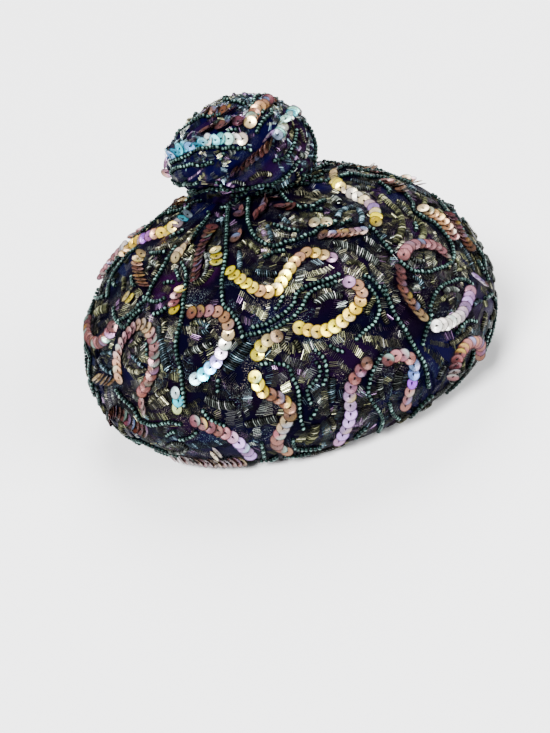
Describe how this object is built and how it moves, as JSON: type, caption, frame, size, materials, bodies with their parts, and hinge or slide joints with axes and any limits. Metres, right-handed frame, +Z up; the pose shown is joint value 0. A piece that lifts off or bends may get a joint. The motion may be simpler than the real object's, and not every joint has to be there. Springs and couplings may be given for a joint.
{
  "type": "sequin hat",
  "caption": "Domed cocktail hat in dark brocade: a hollow turned-under crown with a wrapped topknot, sewn over with sequin trails, bead strings and metallic cord.",
  "frame": {"origin": "middle of the plane that the rim rests on", "axes": "+Z up through the topknot, +X to the wearer's front, -Y the side that the picture shows"},
  "size_m": [0.2278, 0.2166, 0.1603],
  "materials": {
    "brocade": "near-black navy and wine brocade with fine pale gold stitching",
    "inner_cloth": "plain dark woven cloth, matt",
    "metallic_cord": "wound silver-olive metallic thread, satin",
    "seed_bead": "dark teal, glossy, opaque, with a faint lustre",
    "sequin_gold": "cupped, iridescent yellow to peach",
    "sequin_rose": "cupped, iridescent dusty rose to lilac",
    "sequin_opal": "cupped, iridescent white to pale blue and turquoise"
  },
  "bodies": {
    "root": {"crown": "brocade", "topknot": "brocade", "sequins_near_wave": "sequin_gold", "sequins_near_hook": "sequin_gold", "sequins_near_link": "sequin_gold", "sequins_near_tail": "sequin_rose", "sequins_near_curl": "sequin_opal", "sequins_near_leaf": "sequin_rose", "sequins_near_sweep": "sequin_rose", "sequins_near_drip": "sequin_opal", "sequins_near_arch": "sequin_rose", "sequins_near_slat": "sequin_rose", "sequins_near_twig": "sequin_rose", "sequins_near_scarf": "sequin_gold", "sequins_near_cuff": "sequin_rose", "sequins_near_brow": "sequin_rose", "sequins_near_ribbon": "sequin_opal", "sequins_near_knuckle": "sequin_rose", "sequins_near_bridge": "sequin_rose", "sequins_near_crescent": "sequin_opal", "sequins_near_horseshoe": "sequin_rose", "sequins_near_splinter": "sequin_rose", "sequins_far_wave": "sequin_gold", "sequins_far_hook": "sequin_gold", "sequins_far_link": "sequin_gold", "sequins_far_tail": "sequin_rose", "sequins_far_curl": "sequin_opal", "sequins_far_leaf": "sequin_rose", "sequins_far_sweep": "sequin_rose", "sequins_far_drip": "sequin_opal", "sequins_far_arch": "sequin_rose", "sequins_far_slat": "sequin_rose", "sequins_far_twig": "sequin_rose", "sequins_far_scarf": "sequin_gold", "sequins_far_cuff": "sequin_rose", "sequins_far_brow": "sequin_rose", "sequins_far_ribbon": "sequin_opal", "sequins_far_knuckle": "sequin_rose", "sequins_far_bridge": "sequin_rose", "sequins_far_crescent": "sequin_opal", "sequins_far_horseshoe": "sequin_rose", "sequins_far_splinter": "sequin_rose", "sequins_knot_band": "sequin_opal", "sequins_knot_sash": "sequin_opal", "sequins_knot_crest": "sequin_rose", "sequins_knot_back_band": "sequin_rose"}
  },
  "joints": []
}
